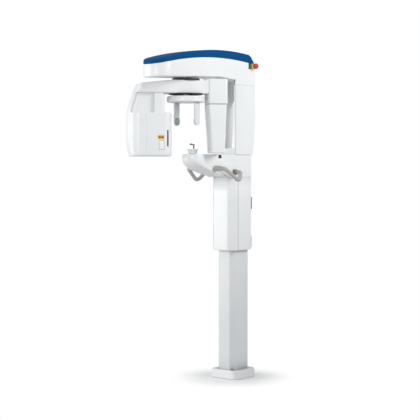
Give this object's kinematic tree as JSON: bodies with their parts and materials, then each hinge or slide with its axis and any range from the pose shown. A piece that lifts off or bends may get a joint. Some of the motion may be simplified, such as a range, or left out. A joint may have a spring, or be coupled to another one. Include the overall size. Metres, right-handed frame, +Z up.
{
  "type": "panoramic x-ray machine",
  "caption": "Floor-standing dental panoramic x-ray machine: a telescopic column, overhead arm with a domed cap, turning C-arm, head support, shelf and chin rest.",
  "frame": {"origin": "centre of the four floor anchors, on the floor under the column", "axes": "+Z up, -Y towards the patient, +Y towards the wall, +X the side with the emergency stop"},
  "size_m": [0.4679, 0.97, 2.2233],
  "materials": {
    "white_cover": "satin",
    "white_column": "satin",
    "blue_cap": "gloss",
    "grey_handle": "satin",
    "black_plastic": "satin",
    "steel": "brushed",
    "aluminium": "satin",
    "rubber": "matt",
    "glass": "clear",
    "red_plastic": "gloss",
    "yellow_plastic": "gloss",
    "green_plastic": "gloss",
    "grey_plastic": "satin",
    "board_green": "satin",
    "lead_grey": "matt",
    "carbon": "satin",
    "clear_plastic": "clear"
  },
  "bodies": {
    "column": {"floor_plate": "steel", "base_cover": "white_column", "fixed_column": "white_column", "guide_rails": "steel", "wall_bracket": "steel", "lift_actuator": "aluminium", "mains_inlet": "black_plastic"},
    "lift_stage": {"lift_middle_tube": "aluminium"},
    "carriage": {"lift_inner_tube": "steel", "lift_mast": "steel", "runner_blocks": "steel", "side_plates": "steel", "power_supply": "aluminium", "control_board": "board_green", "column_cover_front": "white_cover", "column_cover_sides": "white_cover", "cover_bottom_trim": "black_plastic", "spine_cover": "white_cover", "spine_rear_cover": "white_cover", "shelf_cover": "white_cover", "shelf_frame": "aluminium", "chin_rest": "clear_plastic", "handle_left": "grey_handle", "handle_right": "grey_handle", "button_bezel": "grey_plastic", "arm_cover": "white_cover", "top_cap": "blue_cap", "arm_frame": "steel", "head_support_post": "steel", "head_support_body": "white_cover", "switch_panel": "yellow_plastic"},
    "bite": {"bite_fork": "black_plastic"},
    "up_key": {"up_button": "black_plastic"},
    "down_key": {"down_button": "black_plastic"},
    "rotation_unit": {"slide_plate": "aluminium", "rotation_bearings": "steel", "rotation_motor": "steel", "drive_belt": "rubber"},
    "motor_wheel": {"motor_pulley": "aluminium"},
    "c_arm": {"c_arm_cover": "white_cover", "rotation_collar": "black_plastic", "rotation_shaft": "aluminium", "shaft_pulley": "aluminium", "c_arm_frame": "aluminium", "tube_head_cover": "white_cover", "tube_neck_cover": "white_cover", "tube_tank": "lead_grey", "xray_tube": "glass", "collimator": "lead_grey", "exit_window": "carbon", "tube_head_trim": "yellow_plastic", "sensor_cover_upper": "white_cover", "sensor_cover_lower": "white_cover", "sensor_trim": "grey_plastic", "sensor_window": "carbon", "sensor_board": "board_green"},
    "temple_left": {"temple_blade_left": "grey_plastic"},
    "temple_right": {"temple_blade_right": "grey_plastic"},
    "rocker": {"power_rocker": "green_plastic"},
    "stop_head": {"emergency_stop": "red_plastic"}
  },
  "joints": [
    {"name": "lift", "type": "slide", "parent": "column", "child": "carriage", "axis": [0, 0, 1], "range_m": [-0.63, 0.17]},
    {"name": "lift_stage_slide", "type": "slide", "parent": "column", "child": "lift_stage", "axis": [0, 0, 1], "range_m": [-0.316, 0.086]},
    {"name": "rotation_shift", "type": "slide", "parent": "carriage", "child": "rotation_unit", "axis": [0, 1, 0], "range_m": [-0.01, 0.01]},
    {"name": "c_arm_turn", "type": "hinge", "parent": "rotation_unit", "child": "c_arm", "pos_m": [0, -0.478, 2], "axis": [0, 0, 1], "range_deg": [-65, 135]},
    {"name": "motor_turn", "type": "hinge", "parent": "rotation_unit", "child": "motor_wheel", "pos_m": [0, -0.348, 2.11], "axis": [0, 0, 1], "range_deg": [-309.69, 637.81]},
    {"name": "temple_right_slide", "type": "slide", "parent": "carriage", "child": "temple_right", "axis": [1, 0, 0], "range_m": [-0.022, 0.002]},
    {"name": "temple_left_slide", "type": "slide", "parent": "carriage", "child": "temple_left", "axis": [-1, 0, 0], "range_m": [-0.022, 0.002]},
    {"name": "bite_lift", "type": "slide", "parent": "carriage", "child": "bite", "axis": [0, 0, 1], "range_m": [0, 0.06]},
    {"name": "emergency_press", "type": "slide", "parent": "carriage", "child": "stop_head", "axis": [-1, 0, 0], "range_m": [0, 0.004], "stiffness_N_per_m": 1500, "springref_m": -0.001},
    {"name": "rocker_tilt", "type": "hinge", "parent": "carriage", "child": "rocker", "pos_m": [0.106, 0.065, 2.135], "axis": [0, 1, 0], "range_deg": [-8, 8]},
    {"name": "up_press", "type": "slide", "parent": "carriage", "child": "up_key", "axis": [-1, 0, 0], "range_m": [0, 0.0015], "stiffness_N_per_m": 400, "springref_m": -0.001},
    {"name": "down_press", "type": "slide", "parent": "carriage", "child": "down_key", "axis": [-1, 0, 0], "range_m": [0, 0.0015], "stiffness_N_per_m": 400, "springref_m": -0.001}
  ],
  "couplings": [
    {"joint": "lift_stage_slide", "follows": "lift", "ratio": 0.5},
    {"joint": "motor_turn", "follows": "c_arm_turn", "ratio": 4.6875},
    {"joint": "temple_left_slide", "follows": "temple_right_slide", "ratio": 1}
  ]
}
